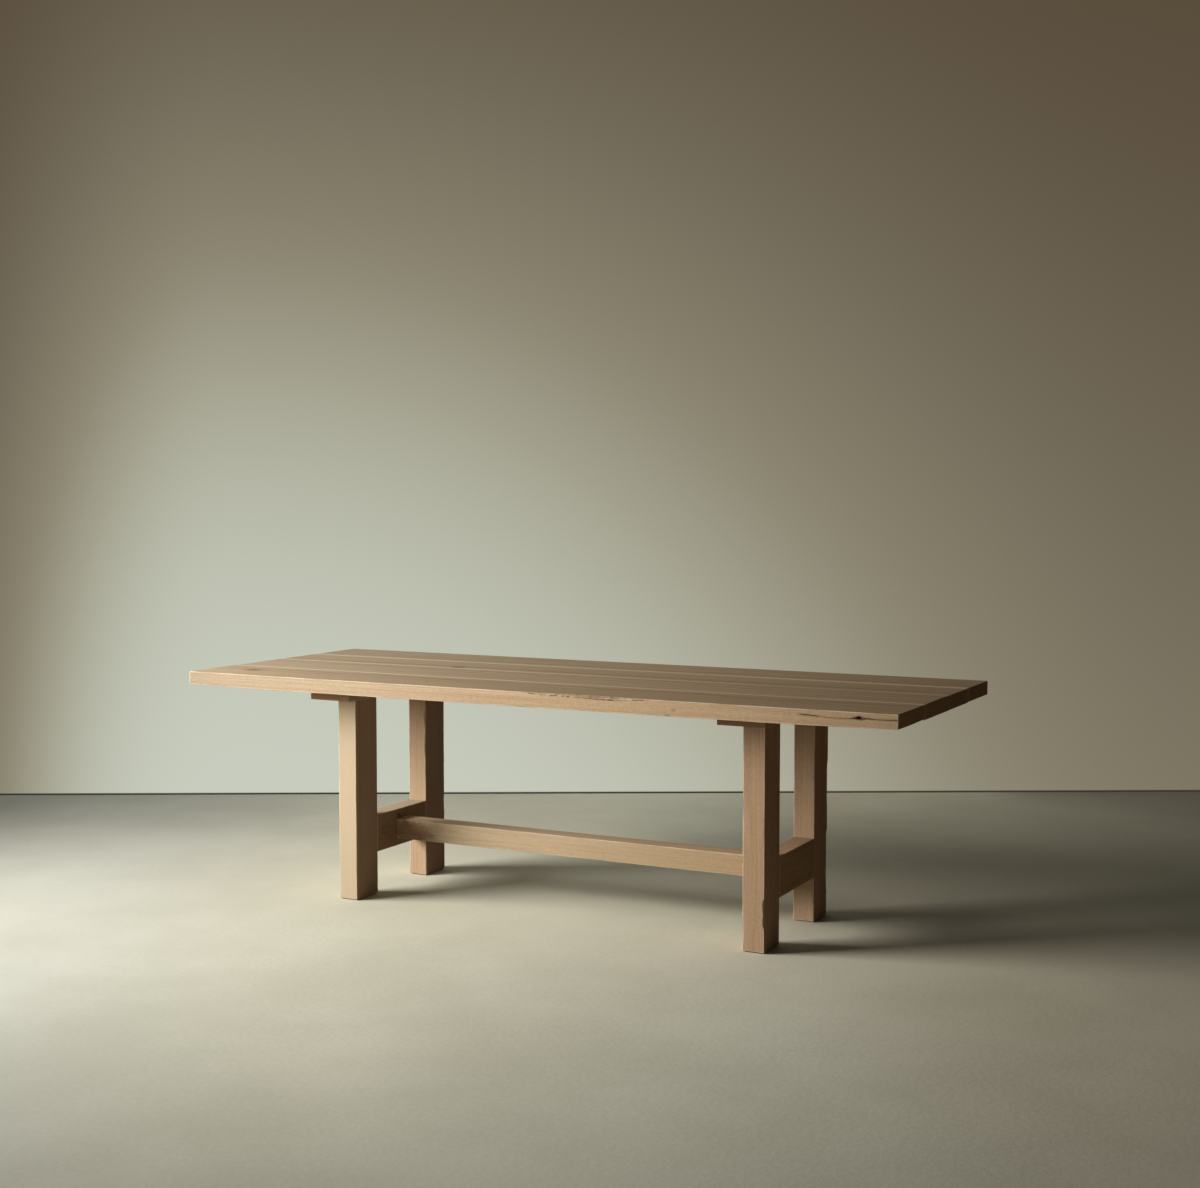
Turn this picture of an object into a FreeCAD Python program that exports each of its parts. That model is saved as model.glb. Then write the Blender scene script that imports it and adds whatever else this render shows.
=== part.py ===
import FreeCAD, Part
import math
import os

# Trestle dining table in solid oak. Millimetres.
# The origin is on the floor below the middle of the top: +X runs along the table to its right
# end, +Y to its back and +Z up. Each trestle is two flat legs, a low rail between them and a
# bearer across their tops. One stretcher joins the two low rails, and the top of four boards is
# screwed to the bearers from below.

# Top: four boards, glued edge to edge
table_height = 745.0
top_length = 2400.0
top_thickness = 45.0
board_width_front = 240.0
board_width_mid_front = 244.0
board_width_mid_back = 196.0
board_width_back = 240.0
top_arris_radius = 2.0
worn_corner_radius = 10.0

# The front board's underside rises towards both ends
front_relief_left = 5.0
front_relief_left_run = 360.0
front_relief_right = 4.0
front_relief_right_run = 420.0

# Wane: the natural round of the log, left on the front board's upper front arris
wane_centre_x = 270.0
wane_length = 470.0
wane_back = 12.0
wane_drop = 8.0

# Loose tongues that line the boards up in their glued edges
tongue_thickness = 10.0
tongue_width = 50.0
tongue_length = 36.0
tongue_end_margin = 100.0
tongue_pitch = 275.0

# Trestles
trestle_spacing = 1424.0
leg_spacing = 412.0
leg_width = 68.0
leg_depth = 120.0
frame_arris_radius = 1.5

# Bearers, which lie flat across the legs and reach out past them to the left
bearer_width = 150.0
bearer_thickness = 43.0
bearer_overrun = 36.0

# Low rails, flush with the legs on both sides
rail_height = 124.0
rail_bottom = 139.0

# Stretcher
stretcher_height = 66.0
stretcher_width = 70.0
stretcher_bottom = 165.0

# Mortise and tenon joints
leg_tenon_width = 24.0
leg_tenon_depth = 80.0
leg_tenon_length = 28.0
rail_tenon_width = 24.0
rail_tenon_shoulder = 16.0
rail_tenon_length = 60.0
stretcher_tenon_width = 30.0
stretcher_tenon_shoulder = 10.0
stretcher_tenon_length = 44.0
joint_clearance = 0.1
glue_gap = 1.0

# Pegs, driven up through the low rails and the stretcher's tenons
peg_radius = 5.0
peg_overrun = 8.0
peg_chamfer = 1.0

# Screws and washers, in counterbored holes in the bearers' undersides
screw_radius = 3.0
screw_length = 60.0
screw_point = 8.0
screw_tip_radius = 0.6
screw_head_radius = 6.0
screw_head_height = 4.0
screw_head_round = 1.2
screw_socket_width = 4.0
screw_socket_depth = 2.4
screw_hole_clearance = 0.75
pilot_extra = 2.0
washer_radius = 9.0
washer_thickness = 1.6
washer_hole_clearance = 0.4
counterbore_clearance = 1.0
counterbore_depth = 13.0
slot_travel = 4.0

# Felt glides under the feet
glide_thickness = 2.5
glide_inset = 4.0
glide_corner_radius = 6.0

# Hollows left by wane on two of the legs
notch_height = 118.0
notch_length = 90.0
notch_depth = 4.5
hollow_height = 190.0
hollow_length = 190.0
hollow_depth = 9.0

# Two places nearer than this are the same place
tolerance = 0.01

# Places that follow from the sizes
X = FreeCAD.Vector(1, 0, 0)
Y = FreeCAD.Vector(0, 1, 0)
Z = FreeCAD.Vector(0, 0, 1)

board_names = ["front", "mid_front", "mid_back", "back"]
board_widths = [board_width_front, board_width_mid_front, board_width_mid_back, board_width_back]
top_width = sum(board_widths)
seams = [sum(board_widths[:i]) - top_width / 2 for i in range(len(board_widths) + 1)]
underside = table_height - top_thickness
bearer_bottom = underside - bearer_thickness
leg_face = leg_width / 2
leg_inner = leg_spacing / 2 - leg_depth / 2
leg_outer = leg_spacing / 2 + leg_depth / 2
trestles = {"left": -trestle_spacing / 2, "right": trestle_spacing / 2}
rows = {"front": -leg_spacing / 2, "back": leg_spacing / 2}
counterbore_floor = bearer_bottom + counterbore_depth
screw_seat = counterbore_floor - washer_thickness


def block(x0, x1, y0, y1, z0, z1):
    return Part.makeBox(x1 - x0, y1 - y0, z1 - z0, FreeCAD.Vector(x0, y0, z0))


def runs_along(edge, axis):
    span = edge.Vertexes[-1].Point - edge.Vertexes[0].Point
    return span.Length > tolerance and span.cross(axis).Length < tolerance


def eased(shape, axis, radius):
    """The shape with its edges along one axis rounded."""
    return shape.makeFillet(radius, [e for e in shape.Edges if runs_along(e, axis)])


def upright_rod(x, y, z0, z1, radius):
    return Part.makeCylinder(radius, z1 - z0, FreeCAD.Vector(x, y, z0))


def slotted(x, y, z0, z1, radius, travel):
    """An upright round hole, or a slot along Y where it has travel."""
    if travel == 0:
        return upright_rod(x, y, z0, z1, radius)
    ends = [upright_rod(x, y + side * travel, z0, z1, radius) for side in (-1, 1)]
    return ends[0].multiFuse([ends[1], block(x - radius, x + radius, y - travel, y + travel, z0, z1)])


def scoop(arris, along, face_a, face_b, back_a, back_b, length):
    """A round cutter that bevels an arris by back_a and back_b and fades out over its length.
    It is a flat drum, wide enough to pass both ends of the bevel, whose rim makes the scoop."""
    on_a = face_a * back_a
    on_b = face_b * back_b
    across = on_a - on_b
    out = along.cross(across)
    out.normalize()
    if out.dot(face_a + face_b) > 0:
        out = -out
    depth = abs(on_a.dot(out))
    radius = ((length / 2) ** 2 + depth ** 2) / (2 * depth)
    base = arris + (on_a + on_b) / 2 + out * radius - across
    return Part.makeCylinder(radius, 2 * across.Length, base, across)


# The places of the screws: one row in each bearer's overhang, under every board, and one
# between the legs, under the two middle boards. Each is at the middle of what the board and the
# bearer share. Those in the outer boards sit in slots, so that the top can swell and shrink.

def bearer_span(side):
    """The bearer's front and back ends: the left one runs past the front leg, the right one
    past the back leg."""
    front = leg_outer + (bearer_overrun if side == "left" else 0)
    back = leg_outer + (bearer_overrun if side == "right" else 0)
    return -front, back


def screw_places(side):
    front, back = bearer_span(side)
    leg_side = trestles[side] - leg_face
    overhang_x = (trestles[side] + leg_face - bearer_width + leg_side) / 2
    places = []
    for index in range(len(board_widths)):
        y = (max(seams[index], front) + min(seams[index + 1], back)) / 2
        outer = index in (0, len(board_widths) - 1)
        places.append((overhang_x, y, slot_travel if outer else 0))
        if not outer:
            places.append((trestles[side], y, 0))
    return places


def pilot_holes():
    top = screw_seat + screw_length + pilot_extra
    return [upright_rod(x, y, underside - pilot_extra, top, screw_radius)
            for side in trestles for x, y, _ in screw_places(side)]


# Top

def tongue_places():
    span = top_length - 2 * tongue_end_margin
    gaps = max(1, round(span / tongue_pitch))
    return [-span / 2 + span * i / gaps for i in range(gaps + 1)]


def tongue(x, seam, clearance, end_gap):
    """A flat tongue with round edges that lies across a seam, or the pocket for it."""
    middle = underside + top_thickness / 2
    round_radius = tongue_thickness / 2 + clearance
    flat = (tongue_width - tongue_thickness) / 2
    half = tongue_length / 2 + end_gap
    edges = [Part.makeCylinder(round_radius, 2 * half,
                               FreeCAD.Vector(x + side * flat, seam - half, middle), Y)
             for side in (-1, 1)]
    core = block(x - flat, x + flat, seam - half, seam + half,
                 middle - round_radius, middle + round_radius)
    return core.multiFuse(edges).removeSplitter()


def seam_tongues(seam):
    return Part.makeCompound([tongue(x, seam, 0, 0) for x in tongue_places()])


def relief_arc(flat_x, end_x, rise):
    """The curve from the flat underside up to the board's end, tangent to the flat."""
    run = abs(end_x - flat_x)
    side = math.copysign(1, end_x - flat_x)
    radius = (run ** 2 + rise ** 2) / (2 * rise)
    half = math.asin(run / radius) / 2
    middle = FreeCAD.Vector(flat_x + side * radius * math.sin(half), 0,
                            underside + radius * (1 - math.cos(half)))
    return Part.Arc(FreeCAD.Vector(flat_x, 0, underside), middle,
                    FreeCAD.Vector(end_x, 0, underside + rise)).toShape()


def front_board_blank(y0, y1):
    left, right = -top_length / 2, top_length / 2
    flat_left = left + front_relief_left_run
    flat_right = right - front_relief_right_run
    left_low = FreeCAD.Vector(left, 0, underside + front_relief_left)
    right_low = FreeCAD.Vector(right, 0, underside + front_relief_right)
    left_high = FreeCAD.Vector(left, 0, table_height)
    right_high = FreeCAD.Vector(right, 0, table_height)
    outline = Part.Wire([
        relief_arc(flat_left, left, front_relief_left),
        Part.makeLine(left_low, left_high),
        Part.makeLine(left_high, right_high),
        Part.makeLine(right_high, right_low),
        relief_arc(flat_right, right, front_relief_right),
        Part.makeLine(FreeCAD.Vector(flat_right, 0, underside), FreeCAD.Vector(flat_left, 0, underside)),
    ])
    blank = Part.Face(outline).extrude(Y * (y1 - y0))
    blank.translate(Y * y0)
    return blank


def on_outside(edge):
    """True for the edges of a board that are arrises of the whole top."""
    box = edge.BoundBox
    at_side = box.YMax < seams[0] + tolerance or box.YMin > seams[-1] - tolerance
    at_end = box.XLength < tolerance and box.ZLength < tolerance
    return at_side or at_end


def top_board(index):
    y0, y1 = seams[index], seams[index + 1]
    if index == 0:
        board = front_board_blank(y0, y1)
    else:
        board = block(-top_length / 2, top_length / 2, y0, y1, underside, table_height)
    board = board.makeFillet(top_arris_radius, [e for e in board.Edges if on_outside(e)])
    cutters = pilot_holes()
    for seam in seams[1:-1]:
        if y0 <= seam <= y1:
            cutters += [tongue(x, seam, joint_clearance, glue_gap) for x in tongue_places()]
    if index == 0:
        arris = FreeCAD.Vector(wane_centre_x, y0, table_height)
        cutters.append(scoop(arris, X, Y, -Z, wane_back, wane_drop, wane_length))
    if index == len(board_widths) - 1:
        cutters.append(worn_corner())
    return board.cut(cutters)


def worn_corner():
    """What is missing from the top's back right corner."""
    x0 = top_length / 2 - worn_corner_radius
    y0 = top_width / 2 - worn_corner_radius
    corner = block(x0, x0 + 2 * worn_corner_radius, y0, y0 + 2 * worn_corner_radius,
                   underside, table_height)
    return corner.cut(upright_rod(x0, y0, underside, table_height, worn_corner_radius))


# Trestles

def leg_tenon(x, y, clearance, end_gap):
    half_width = leg_tenon_width / 2 + clearance
    half_depth = leg_tenon_depth / 2 + clearance
    return block(x - half_width, x + half_width, y - half_depth, y + half_depth,
                 bearer_bottom, bearer_bottom + leg_tenon_length + end_gap)


def rail_tenons(x, clearance, end_gap):
    """Both tenons of a low rail and the strip that joins them, or the mortises for them."""
    half_width = rail_tenon_width / 2 + clearance
    reach = leg_inner + rail_tenon_length + end_gap
    return block(x - half_width, x + half_width, -reach, reach,
                 rail_bottom + rail_tenon_shoulder - clearance,
                 rail_bottom + rail_height - rail_tenon_shoulder + clearance)


def stretcher_tenons(clearance, end_gap):
    """The same for the stretcher, along the whole table."""
    half_width = stretcher_tenon_width / 2 + clearance
    reach = trestle_spacing / 2 - leg_face + stretcher_tenon_length + end_gap
    return block(-reach, reach, -half_width, half_width,
                 stretcher_bottom + stretcher_tenon_shoulder - clearance,
                 stretcher_bottom + stretcher_height - stretcher_tenon_shoulder + clearance)


def leg(side, row):
    x, y = trestles[side], rows[row]
    post = block(x - leg_face, x + leg_face, y - leg_depth / 2, y + leg_depth / 2,
                 glide_thickness, bearer_bottom)
    post = eased(post, Z, frame_arris_radius)
    post = post.fuse(leg_tenon(x, y, 0, 0))
    cutters = [rail_tenons(x, joint_clearance, glue_gap)]
    if (side, row) == ("right", "front"):
        arris = FreeCAD.Vector(x + leg_face, y - leg_depth / 2, notch_height)
        cutters.append(scoop(arris, Z, -X, Y, notch_depth, notch_depth, notch_length))
    if (side, row) == ("right", "back"):
        arris = FreeCAD.Vector(x + leg_face, y + leg_depth / 2, hollow_height)
        cutters.append(scoop(arris, Z, -X, -Y, hollow_depth, hollow_depth, hollow_length))
    return post.cut(cutters)


def low_rail(side):
    x = trestles[side]
    rail = block(x - leg_face, x + leg_face, -leg_inner, leg_inner,
                 rail_bottom, rail_bottom + rail_height)
    rail = eased(rail, Y, frame_arris_radius)
    rail = rail.fuse(rail_tenons(x, 0, 0))
    return rail.cut([stretcher_tenons(joint_clearance, glue_gap), peg_hole(side)])


def bearer(side):
    right = trestles[side] + leg_face
    front, back = bearer_span(side)
    plank = block(right - bearer_width, right, front, back, bearer_bottom, underside)
    plank = eased(plank, Y, frame_arris_radius)
    cutters = [leg_tenon(trestles[side], y, joint_clearance, glue_gap) for y in rows.values()]
    for x, y, travel in screw_places(side):
        cutters.append(slotted(x, y, bearer_bottom, underside,
                               screw_radius + screw_hole_clearance, travel))
        cutters.append(slotted(x, y, bearer_bottom, counterbore_floor,
                               washer_radius + counterbore_clearance, travel))
    return plank.cut(cutters)


def stretcher():
    reach = trestle_spacing / 2 - leg_face
    beam = block(-reach, reach, -stretcher_width / 2, stretcher_width / 2,
                 stretcher_bottom, stretcher_bottom + stretcher_height)
    beam = eased(beam, X, frame_arris_radius)
    beam = beam.fuse(stretcher_tenons(0, 0))
    return beam.cut([peg_hole(side) for side in trestles])


# Pegs, screws, washers and glides

def peg_x(side):
    inner_face = trestles[side] - math.copysign(leg_face, trestles[side])
    return inner_face + math.copysign(stretcher_tenon_length / 2, trestles[side])


def peg_top():
    return stretcher_bottom + stretcher_height - stretcher_tenon_shoulder + peg_overrun


def peg_hole(side):
    return upright_rod(peg_x(side), 0, rail_bottom, peg_top() + glue_gap, peg_radius)


def stretcher_peg(side):
    peg = upright_rod(peg_x(side), 0, rail_bottom, peg_top(), peg_radius)
    upper_rim = max(peg.Edges, key=lambda edge: edge.BoundBox.ZMin)
    return peg.makeChamfer(peg_chamfer, [upper_rim])


def screw(x, y):
    head = upright_rod(x, y, screw_seat - screw_head_height, screw_seat, screw_head_radius)
    lower_rim = min(head.Edges, key=lambda edge: edge.BoundBox.ZMax)
    head = head.makeFillet(screw_head_round, [lower_rim])
    neck_top = screw_seat + screw_length - screw_point
    shank = upright_rod(x, y, screw_seat, neck_top, screw_radius)
    point = Part.makeCone(screw_radius, screw_tip_radius, screw_point, FreeCAD.Vector(x, y, neck_top))
    corner = screw_socket_width / math.sqrt(3)
    turns = [math.radians(60 * i) for i in range(7)]
    base = screw_seat - screw_head_height
    outline = Part.makePolygon([FreeCAD.Vector(x + corner * math.cos(a), y + corner * math.sin(a), base)
                                for a in turns])
    socket = Part.Face(outline).extrude(Z * screw_socket_depth)
    return head.multiFuse([shank, point]).cut(socket)


def washer(x, y):
    ring = upright_rod(x, y, screw_seat, counterbore_floor, washer_radius)
    return ring.cut(upright_rod(x, y, screw_seat, counterbore_floor, screw_radius + washer_hole_clearance))


def felt_glide(side, row):
    half_width = leg_face - glide_inset
    half_depth = leg_depth / 2 - glide_inset
    x, y = trestles[side], rows[row]
    glide = block(x - half_width, x + half_width, y - half_depth, y + half_depth, 0, glide_thickness)
    return eased(glide, Z, glide_corner_radius)


def group(make, side):
    return Part.makeCompound([make(x, y) for x, y, _ in screw_places(side)])


nodes = {}
for index, name in enumerate(board_names):
    nodes["top_board_" + name] = top_board(index)
for seam, name in zip(seams[1:-1], ["front", "middle", "back"]):
    nodes["seam_tongues_" + name] = seam_tongues(seam)
for side in trestles:
    nodes["bearer_" + side] = bearer(side)
    nodes["low_rail_" + side] = low_rail(side)
    nodes["stretcher_peg_" + side] = stretcher_peg(side)
    nodes["top_screws_" + side] = group(screw, side)
    nodes["top_washers_" + side] = group(washer, side)
    for row in rows:
        nodes["leg_" + row + "_" + side] = leg(side, row)
        nodes["felt_glide_" + row + "_" + side] = felt_glide(side, row)
nodes["stretcher"] = stretcher()

os.makedirs("parts", exist_ok=True)
for name, shape in nodes.items():
    shape.exportStep("parts/" + name + ".step")
    print(name, len(shape.Solids), "solids", round(shape.Volume), "mm3", shape.isValid())
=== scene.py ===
import math

import bpy
import numpy as np
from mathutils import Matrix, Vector, noise


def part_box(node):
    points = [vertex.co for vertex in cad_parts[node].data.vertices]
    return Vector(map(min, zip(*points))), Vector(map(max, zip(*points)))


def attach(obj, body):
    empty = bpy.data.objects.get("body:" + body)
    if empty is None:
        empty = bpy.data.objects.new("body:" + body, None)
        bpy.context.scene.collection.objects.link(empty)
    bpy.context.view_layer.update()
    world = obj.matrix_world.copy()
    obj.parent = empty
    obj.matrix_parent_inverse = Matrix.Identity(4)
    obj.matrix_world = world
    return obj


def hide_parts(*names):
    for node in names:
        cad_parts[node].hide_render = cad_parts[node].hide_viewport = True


# The looks of a trestle dining table in pale, matt oiled oak. Metres, in the frame's axes:
# +X runs along the table to its right end, +Y to its back and +Z up, from the floor.
# The wooden members are dressed meshes, with worn arrises, wane, a split and a knot hole.
# The bearers and the hardware are the frame's own solids with finished materials.

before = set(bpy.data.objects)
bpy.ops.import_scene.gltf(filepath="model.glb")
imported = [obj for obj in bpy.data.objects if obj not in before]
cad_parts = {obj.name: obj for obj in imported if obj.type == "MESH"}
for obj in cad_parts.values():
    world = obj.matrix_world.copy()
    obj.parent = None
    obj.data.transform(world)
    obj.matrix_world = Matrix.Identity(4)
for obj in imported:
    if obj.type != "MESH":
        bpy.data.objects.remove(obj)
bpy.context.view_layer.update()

MM = 0.001

# The sides that a corner is on, on two axes
LEFT_FRONT, RIGHT_FRONT, RIGHT_BACK, LEFT_BACK = (-1, -1), (1, -1), (1, 1), (-1, 1)
CORNERS = (LEFT_FRONT, RIGHT_FRONT, RIGHT_BACK, LEFT_BACK)

# Camera, which stands in front of the table's right half and looks a little down
CAMERA_PLACE = (2.55978, -4.81344, 1.33062)
CAMERA_PITCH = 3.3959
CAMERA_HEADING = 27.2852
CAMERA_LENS = 51.42
SENSOR_WIDTH = 36.0

# Lights: a soft lamp low on the front left, as from a window, a weak one in front, and a wide dim
# one in the wall's plane, for the light that the wall throws back
LAMPS = {
    "key_lamp": dict(
        place=(-3.09, -2.15, 1.79), target=(0.17, -0.30, 0.84), size=(2.1, 1.5),
        spread=math.radians(108), watts=111.0, colour=(1.0, 0.985, 0.97),
    ),
    "front_lamp": dict(
        place=(-0.6, -6.5, 0.5), target=(0.0, 0.0, 0.4), size=(4.5, 0.9),
        spread=math.pi, watts=25.0, colour=(0.94, 1.0, 1.0),
    ),
    "wall_lamp": dict(
        place=(-1.55, 1.62, 1.0), target=(-1.0765, 0.739, 1.0), size=(5.0, 2.0),
        spread=math.pi, watts=15.0, colour=(0.96, 1.0, 0.93),
    ),
}
FILL_COLOUR = (1.0, 0.90, 0.80, 1.0)
FILL_STRENGTH = 0.008

# Wall behind the table: the foot of it runs through these two points of the floor
WALL_START = (-2.827, 0.827)
WALL_END = (1.072, 2.923)
WALL_REACH = 14.0
WALL_HEIGHT = 7.0

# The floor, which fades into a plain tone between two distances, and sooner towards the key lamp
FLOOR_REACH = 30.0
FLOOR_FADE = (3.6, 5.2)
TOWARDS_LAMP = (-0.686, -0.728, 0.0)
LAMP_FADE = (1.9, 3.4)


def srgb(red, green, blue):
    """The linear colour of one given as it shows on a screen, 0 to 255."""
    shares = [value / 255 for value in (red, green, blue)]
    linear = [s / 12.92 if s <= 0.04045 else ((s + 0.055) / 1.055) ** 2.4 for s in shares]
    return (*linear, 1.0)


# -------- camera, floor, wall and light


def link(thing):
    bpy.context.scene.collection.objects.link(thing)
    return thing


def make_camera():
    data = bpy.data.cameras.new("camera")
    data.sensor_width = SENSOR_WIDTH
    data.lens = CAMERA_LENS
    camera = link(bpy.data.objects.new("camera", data))
    camera.location = CAMERA_PLACE
    camera.rotation_euler = (math.radians(90 - CAMERA_PITCH), 0.0, math.radians(CAMERA_HEADING))
    bpy.context.scene.camera = camera


def make_lamp(name, place, target, size, spread, watts, colour):
    data = bpy.data.lights.new(name, "AREA")
    data.shape = "RECTANGLE"
    data.size, data.size_y = size
    data.spread = spread
    data.energy = watts
    data.color = colour
    lamp = link(bpy.data.objects.new(name, data))
    lamp.location = place
    away = Vector(place) - Vector(target)
    lamp.rotation_euler = away.to_track_quat("Z", "Y").to_euler()
    lamp.visible_camera = False


class Nodes:
    """Writes a node tree with one short call per node. A call returns an output, and put a node."""

    def __init__(self, tree):
        self.tree = tree
        tree.nodes.clear()

    def put(self, kind, inputs=None, **settings):
        node = self.tree.nodes.new("ShaderNode" + kind)
        for name, value in settings.items():
            setattr(node, name, value)
        for key, value in (inputs or {}).items():
            self.feed(node.inputs[key], value)
        return node

    def feed(self, socket, value):
        if isinstance(value, bpy.types.NodeSocket):
            self.tree.links.new(value, socket)
        else:
            socket.default_value = value

    def math(self, operation, a, b=0.0, clamp=False):
        return self.put("Math", {0: a, 1: b}, operation=operation, use_clamp=clamp).outputs[0]

    def add(self, *values):
        total = values[0]
        for value in values[1:]:
            total = self.math("ADD", total, value)
        return total

    def times(self, a, b):
        return self.math("MULTIPLY", a, b)

    def weighted(self, *pairs):
        return [self.times(value, weight) for value, weight in pairs]

    def vector(self, operation, a, b=(0.0, 0.0, 0.0)):
        node = self.put("VectorMath", {0: a, 1: b}, operation=operation)
        return node.outputs["Value" if operation in ("LENGTH", "DOT_PRODUCT") else "Vector"]

    def noise(self, at, stretch, detail=2.0, roughness=0.5, output="Fac"):
        """stretch is how often it changes in a metre, on each axis or on all of them."""
        each = (stretch,) * 3 if isinstance(stretch, float) else stretch
        scaled = self.vector("MULTIPLY", at, each)
        inputs = {"Vector": scaled, "Scale": 1.0, "Detail": detail, "Roughness": roughness}
        return self.put("TexNoise", inputs).outputs[output]

    def between(self, value, start, end, low=0.0, high=1.0):
        """Goes smoothly from low, where value is start, to high, where it is end."""
        inputs = {"Value": value, "From Min": start, "From Max": end, "To Min": low, "To Max": high}
        return self.put("MapRange", inputs, interpolation_type="SMOOTHSTEP").outputs["Result"]

    def mix(self, share, a, b, how="MIX"):
        inputs = {0: share, 6: a, 7: b}
        return self.put("Mix", inputs, data_type="RGBA", blend_type=how).outputs[2]

    def toned(self, colour, tone):
        return self.mix(1.0, colour, tone, "MULTIPLY")

    def attribute(self, name):
        return self.put("Attribute", attribute_name=name).outputs["Fac"]

    def parts(self, vector):
        return self.put("SeparateXYZ", {0: vector}).outputs

    def join(self, x, y=0.0, z=0.0):
        return self.put("CombineXYZ", {0: x, 1: y, 2: z}).outputs[0]

    def object_place(self):
        return self.put("TexCoord").outputs["Object"]

    def camera_ray(self):
        return self.put("LightPath").outputs["Is Camera Ray"]

    def either(self, share, first, second):
        return self.put("MixShader", {0: share, 1: first, 2: second}).outputs[0]

    def surface(self, colour, rough, height, strength, depth, more=None):
        """A Principled shader with a bump of a strength and a depth, and with more inputs."""
        bump = self.put("Bump", {"Strength": strength, "Distance": depth, "Height": height})
        looks = {"Base Color": colour, "Roughness": rough, "Normal": bump.outputs[0]}
        return self.put("BsdfPrincipled", looks | (more or {})).outputs[0]

    def output(self, shader):
        self.put("OutputMaterial", {"Surface": shader})


def new_material(name):
    material = bpy.data.materials.new(name)
    material.use_nodes = True
    return material, Nodes(material.node_tree)


def seen_directly(n):
    """1 for the rays that show a background, and 0 for those that light the object."""
    rays = n.put("LightPath").outputs
    return n.add(rays["Is Camera Ray"], rays["Is Glossy Ray"], rays["Is Transmission Ray"])


# Colours of the backdrop: the wall's painted light runs from the dim one through the middle one to the
# pale one
BACKDROP_PALE = srgb(200, 205, 191)
BACKDROP_MIDDLE = srgb(173, 169, 146)
BACKDROP_DIM = srgb(84, 71, 54)
BACKDROP_PLAIN = srgb(166, 165, 149)
# A painted shadow line along the wall's foot, where it meets the floor
WALL_FOOT_SHADOW = srgb(56, 52, 43)
FLOOR_PALE = srgb(211, 209, 190)
FLOOR_DULL = srgb(199, 197, 177)
FLOOR_BOUNCE = (0.58, 0.54, 0.47, 1.0)

# The floor's clouds and grit: how often they change in a metre
FLOOR_CLOUDS = 1.3
FLOOR_GRIT = 60.0

# How the painted light on the floor changes along the wall: a direction, the tones of painted light on
# the way, and the two stretches over which one turns into the next
ALONG_WALL = (0.88, 0.47, 0.0)
FLOOR_LEFT_LIGHT = (0.85, 0.86, 0.91, 1.0)
FLOOR_MIDDLE_LIGHT = (1.06, 1.05, 1.03, 1.0)
FLOOR_RIGHT_LIGHT = (0.92, 0.86, 0.80, 1.0)
LEFT_TO_MIDDLE = (-1.7, -0.5)
MIDDLE_TO_RIGHT = (0.3, 1.2)

# The painted light on the wall: where it fades upwards, to the right, down to a share, and to the left,
# and at which shares of it the colours change
WALL_FADE_UP = (5.8, -1.5)
WALL_FADE_RIGHT = (5.2, 0.7)
WALL_RIGHT_SHARE = 0.40
WALL_FADE_LEFT = (-1.5, 0.6)
DIM_TO_MIDDLE = (0.0, 0.90)
MIDDLE_TO_PALE = (0.41, 0.93)
# The heights over which the painted shadow line at the wall's foot sets in
FOOT_SHADOW_LINE = (0.011, 0.005)

# The range that most values of a noise lie in
NOISE_RANGE = (0.35, 0.65)


def make_world():
    world = bpy.data.worlds.new("world")
    bpy.context.scene.world = world
    world.use_nodes = True
    n = Nodes(world.node_tree)
    fill = n.put("Background", {"Color": FILL_COLOUR, "Strength": FILL_STRENGTH})
    shown = n.put("Background", {"Color": BACKDROP_PLAIN, "Strength": 1.0})
    share = n.math("MINIMUM", seen_directly(n), 1.0)
    background = n.either(share, fill.outputs[0], shown.outputs[0])
    n.put("OutputWorld", {"Surface": background})


def see_through_behind(n, shader):
    """The shader on a surface's front, and nothing on its back, so that it hides no view."""
    behind = n.put("NewGeometry").outputs["Backfacing"]
    clear = n.put("BsdfTransparent").outputs[0]
    return n.either(n.times(behind, n.camera_ray()), shader, clear)


def floor_material():
    """A pale, slightly cloudy floor, with painted light that changes along the wall where it is seen. It
    throws back a little less light than it shows.
    """
    material, n = new_material("floor")
    at = n.object_place()
    cloud = n.noise(at, FLOOR_CLOUDS, detail=5.0, roughness=0.6)
    grit = n.noise(at, FLOOR_GRIT, detail=3.0)
    shade = n.add(*n.weighted((cloud, 0.8), (grit, 0.2)))
    colour = n.mix(n.between(shade, *NOISE_RANGE), FLOOR_DULL, FLOOR_PALE)
    # Painted light on the floor where it is seen: darker to the left, brighter in the middle, darker and
    # warmer to the right
    along = n.vector("DOT_PRODUCT", at, ALONG_WALL)
    tone = n.mix(n.between(along, *LEFT_TO_MIDDLE), FLOOR_LEFT_LIGHT, FLOOR_MIDDLE_LIGHT)
    tone = n.mix(n.between(along, *MIDDLE_TO_RIGHT), tone, FLOOR_RIGHT_LIGHT)
    camera_ray = n.camera_ray()
    colour = n.mix(camera_ray, n.toned(colour, FLOOR_BOUNCE), n.toned(colour, tone))
    lit = n.surface(colour, 0.85, n.add(cloud, grit), 0.25, 2 * MM, {"Specular IOR Level": 0.2})
    far = n.between(n.vector("LENGTH", at), *FLOOR_FADE)
    by_lamp = n.between(n.vector("DOT_PRODUCT", at, TOWARDS_LAMP), *LAMP_FADE)
    share = n.times(n.math("MAXIMUM", far, by_lamp), camera_ray)
    shown = n.put("Emission", {"Color": BACKDROP_PLAIN}).outputs[0]
    n.output(see_through_behind(n, n.either(share, lit, shown)))
    return material


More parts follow.
